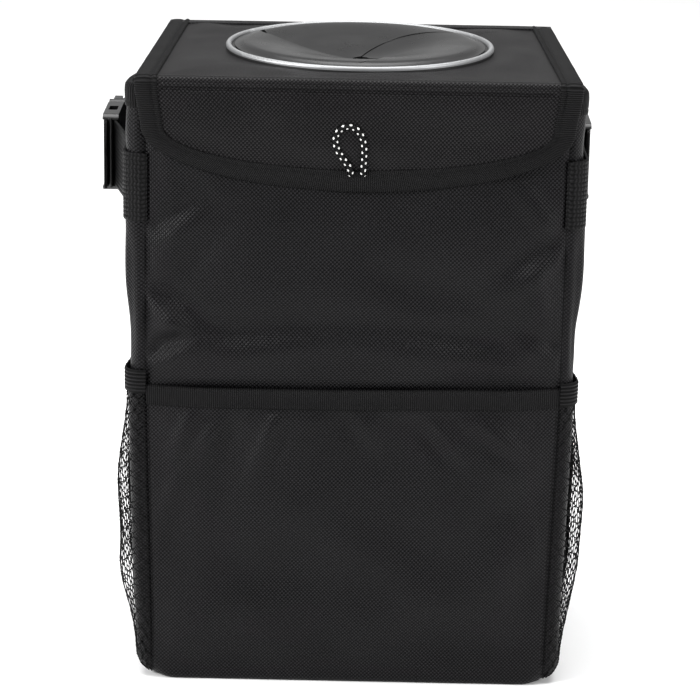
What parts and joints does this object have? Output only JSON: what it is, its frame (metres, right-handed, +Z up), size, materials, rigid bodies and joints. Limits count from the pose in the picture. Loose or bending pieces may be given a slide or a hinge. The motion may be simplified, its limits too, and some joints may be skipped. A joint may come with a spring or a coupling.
{
  "type": "car trash bin",
  "caption": "Soft-sided car bin of stiffened black fabric with a hinged lid, swirl-slit waste insert, front flap, front and mesh side pockets and a buckled rear strap.",
  "frame": {"origin": "middle of the bin's base, on the surface it stands on", "axes": "+Z up, the front with its flap and pocket faces -Y, +X to the right seen from the front"},
  "size_m": [0.2772, 0.1896, 0.3532],
  "materials": {
    "fabric": "coated black plain weave",
    "lid_fabric": "coated black plain weave, padded",
    "binding": "ribbed black tape",
    "webbing": "woven black webbing",
    "mesh": "knitted black mesh",
    "elastic": "ribbed black elastic",
    "cord": "braided black elastic cord with white tracers",
    "fastener": "black hook and loop tape",
    "liner": "grey waterproof film",
    "board": "grey stiffener sheet",
    "buckle": "black moulded plastic",
    "frame": "black moulded plastic",
    "rubber": "satin charcoal rubber",
    "silver": "satin silver plating"
  },
  "bodies": {
    "bin": {"front_panel": "fabric", "back_panel": "fabric", "side_panel_left": "fabric", "side_panel_right": "fabric", "base_panel": "fabric", "front_board": "board", "back_board": "board", "side_board_left": "board", "side_board_right": "board", "base_board": "board", "liner": "liner", "rim_binding": "binding", "loop_tape": "fastener", "front_pocket": "fabric", "pocket_binding": "binding", "mesh_pocket_left": "mesh", "mesh_pocket_right": "mesh", "mesh_elastic_left": "elastic", "mesh_elastic_right": "elastic", "side_strap_left": "webbing", "side_strap_right": "webbing", "buckle_female_left": "buckle", "buckle_female_right": "buckle"},
    "strap": {"rear_strap": "webbing", "buckle_male_left": "buckle", "buckle_male_right": "buckle"},
    "lid": {"lid_panel": "lid_fabric", "lid_board": "board", "lid_lining": "liner", "lid_binding_left": "binding", "lid_binding_right": "binding", "insert_frame": "frame", "trim_ring": "silver", "diaphragm": "rubber", "clamp_ring": "frame"},
    "flap": {"front_flap": "lid_fabric", "flap_binding": "binding", "hook_tape": "fastener", "cord_loop": "cord"}
  },
  "joints": [
    {"name": "lid_hinge", "type": "hinge", "parent": "bin", "child": "lid", "pos_m": [0, 0.0872, 0.343], "axis": [-1, 0, 0], "range_deg": [0, 180]},
    {"name": "flap_hinge", "type": "hinge", "parent": "lid", "child": "flap", "pos_m": [0, -0.08695, 0.3484], "axis": [-1, 0, 0], "range_deg": [0, 160]},
    {"name": "strap_release", "type": "slide", "parent": "bin", "child": "strap", "axis": [0, 1, 0], "range_m": [0, 0.035]}
  ]
}
